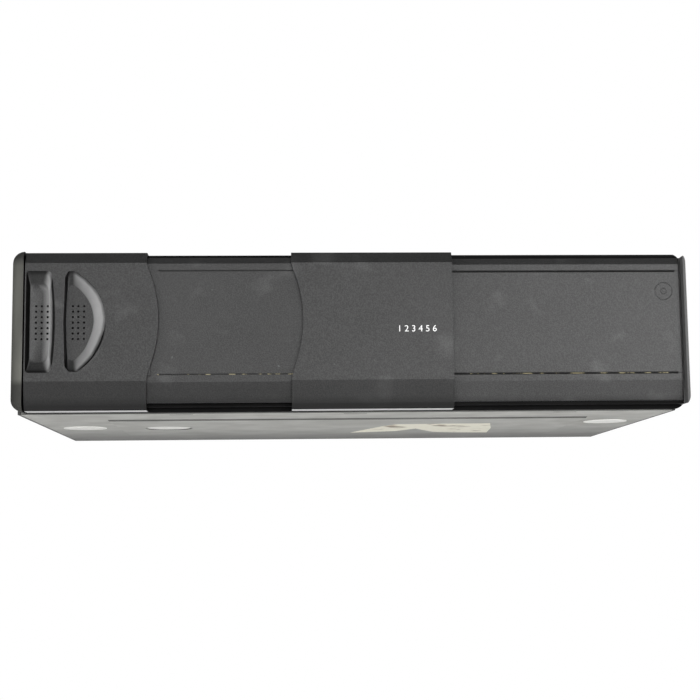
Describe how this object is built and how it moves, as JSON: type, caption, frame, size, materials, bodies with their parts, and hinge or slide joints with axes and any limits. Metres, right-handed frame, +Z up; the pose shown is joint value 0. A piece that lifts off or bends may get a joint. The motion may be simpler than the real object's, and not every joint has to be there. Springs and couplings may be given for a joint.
{
  "type": "car disc changer",
  "caption": "Slim trunk-mounted disc changer: sliding front doors over a magazine, disc trays, lifting play deck and sheet steel case.",
  "frame": {"origin": "centre of the bounding box footprint, at the underside of the pressed rectangle it rests on", "axes": "+X to the right and -Y to the front door side as the picture shows it, +Z up"},
  "size_m": [0.255, 0.165, 0.0612],
  "materials": {
    "frame_plastic": "fine grained black moulding",
    "door_plastic": "satin grey, slightly warm",
    "panel_plastic": "satin grey",
    "zinc_sheet": "dull zinc-plated sheet",
    "cover_paint": "dark grey paint",
    "seal_paper": "white sticker",
    "label_paper": "aged cream paper",
    "screw_steel": "zinc plated",
    "socket_plastic": "black",
    "pin_brass": "plated pins",
    "damper_rubber": "soft rubber",
    "spring_steel": "spring wire",
    "chassis_steel": "pressed sheet",
    "rod_chrome": "ground rod",
    "button_plastic": "dark grey",
    "lever_plastic": "white acetal",
    "magazine_plastic": "dark grey",
    "tray_plastic": "grey",
    "disc_mirror": "silvery disc",
    "deck_steel": "pressed deck",
    "motor_steel": "motor can",
    "table_plastic": "black",
    "lens_glass": "coated lens",
    "belt_rubber": "black",
    "board_green": "laminate",
    "chip_plastic": "black packages",
    "dial_plastic": "off-white"
  },
  "bodies": {
    "case": {"front_frame": "frame_plastic", "right_front_panel": "panel_plastic", "top_cover": "cover_paint", "bottom_plate": "zinc_sheet", "bottom_seals": "seal_paper", "torn_label": "label_paper", "rear_panel": "zinc_sheet", "case_screws": "screw_steel", "rear_socket": "socket_plastic", "socket_pins": "pin_brass", "suspension_dampers": "damper_rubber", "suspension_springs": "spring_steel", "chassis": "chassis_steel", "guide_posts": "rod_chrome", "magazine_spring": "spring_steel", "drive_belt": "belt_rubber", "lift_motor": "motor_steel", "main_board": "board_green", "board_components": "chip_plastic"},
    "inner_door": {"inner_door": "door_plastic"},
    "outer_door": {"outer_door": "door_plastic"},
    "eject_button": {"eject_button": "button_plastic", "magazine_latch": "lever_plastic"},
    "magazine": {"magazine_shell": "magazine_plastic"},
    "lift_deck": {"elevator_deck": "deck_steel", "spindle_motor": "motor_steel", "clamper_pin": "rod_chrome", "sled_rods": "rod_chrome", "sled_motor": "motor_steel"},
    "turntable": {"turntable": "table_plastic"},
    "clamper": {"clamper_arm": "deck_steel", "clamp_puck": "lever_plastic"},
    "sled": {"pickup_sled": "table_plastic", "objective_lens": "lens_glass"},
    "sled_screw": {"sled_screw": "lever_plastic"},
    "lift_screw": {"lift_screw": "lever_plastic"},
    "motor_pulley": {"motor_pulley": "lever_plastic"},
    "dial_left": {"angle_dial_left": "dial_plastic"},
    "dial_right": {"angle_dial_right": "dial_plastic"},
    "tray_1": {"disc_tray_1": "tray_plastic", "disc_1": "disc_mirror"},
    "tray_2": {"disc_tray_2": "tray_plastic", "disc_2": "disc_mirror"},
    "tray_3": {"disc_tray_3": "tray_plastic", "disc_3": "disc_mirror"},
    "tray_4": {"disc_tray_4": "tray_plastic", "disc_4": "disc_mirror"},
    "tray_5": {"disc_tray_5": "tray_plastic", "disc_5": "disc_mirror"},
    "tray_6": {"disc_tray_6": "tray_plastic", "disc_6": "disc_mirror"}
  },
  "joints": [
    {"name": "inner_door_slide", "type": "slide", "parent": "case", "child": "inner_door", "axis": [1, 0, 0], "range_m": [0, 0.141]},
    {"name": "outer_door_slide", "type": "slide", "parent": "case", "child": "outer_door", "axis": [1, 0, 0], "range_m": [0, 0.0882]},
    {"name": "eject_press", "type": "slide", "parent": "case", "child": "eject_button", "axis": [0, 1, 0], "range_m": [0, 0.002], "stiffness_N_per_m": 150, "springref_m": -0.001},
    {"name": "magazine_slide", "type": "slide", "parent": "case", "child": "magazine", "axis": [0, 1, 0], "range_m": [-0.0035, 0.0025]},
    {"name": "deck_lift", "type": "slide", "parent": "case", "child": "lift_deck", "axis": [0, 0, 1], "range_m": [0, 0.026]},
    {"name": "turntable_spin", "type": "hinge", "parent": "lift_deck", "child": "turntable", "pos_m": [0.062, -0.0075, 0.018], "axis": [0, 0, 1], "continuous": true},
    {"name": "clamper_swing", "type": "hinge", "parent": "lift_deck", "child": "clamper", "pos_m": [0.11, -0.0075, 0.026], "axis": [0, 1, 0], "range_deg": [0, 4.5]},
    {"name": "sled_slide", "type": "slide", "parent": "lift_deck", "child": "sled", "axis": [0, 1, 0], "range_m": [0, 0.024]},
    {"name": "sled_screw_turn", "type": "hinge", "parent": "lift_deck", "child": "sled_screw", "pos_m": [0.08, 0.02, 0.015], "axis": [0, 1, 0], "range_deg": [0, 720]},
    {"name": "lift_screw_turn", "type": "hinge", "parent": "case", "child": "lift_screw", "pos_m": [0.092, 0.047, 0.006], "axis": [0, 0, 1], "range_deg": [0, 720]},
    {"name": "motor_pulley_turn", "type": "hinge", "parent": "case", "child": "motor_pulley", "pos_m": [0.092, 0.07, 0.006], "axis": [0, 0, 1], "range_deg": [0, 1440]},
    {"name": "left_dial_turn", "type": "hinge", "parent": "case", "child": "dial_left", "pos_m": [-0.1265, 0.06, 0.03], "axis": [1, 0, 0], "range_deg": [0, 90]},
    {"name": "right_dial_turn", "type": "hinge", "parent": "case", "child": "dial_right", "pos_m": [0.124, 0.06, 0.03], "axis": [1, 0, 0], "range_deg": [0, 90]},
    {"name": "tray_1_slide", "type": "slide", "parent": "magazine", "child": "tray_1", "axis": [1, 0, 0], "range_m": [0, 0.028]},
    {"name": "tray_2_slide", "type": "slide", "parent": "magazine", "child": "tray_2", "axis": [1, 0, 0], "range_m": [0, 0.028]},
    {"name": "tray_3_slide", "type": "slide", "parent": "magazine", "child": "tray_3", "axis": [1, 0, 0], "range_m": [0, 0.028]},
    {"name": "tray_4_slide", "type": "slide", "parent": "magazine", "child": "tray_4", "axis": [1, 0, 0], "range_m": [0, 0.028]},
    {"name": "tray_5_slide", "type": "slide", "parent": "magazine", "child": "tray_5", "axis": [1, 0, 0], "range_m": [0, 0.028]},
    {"name": "tray_6_slide", "type": "slide", "parent": "magazine", "child": "tray_6", "axis": [1, 0, 0], "range_m": [0, 0.028]}
  ],
  "couplings": [
    {"joint": "outer_door_slide", "follows": "inner_door_slide", "ratio": 0.625},
    {"joint": "sled_screw_turn", "follows": "sled_slide", "rad_per_m": 523.6},
    {"joint": "lift_screw_turn", "follows": "deck_lift", "rad_per_m": 483.32},
    {"joint": "motor_pulley_turn", "follows": "deck_lift", "rad_per_m": 966.64}
  ]
}
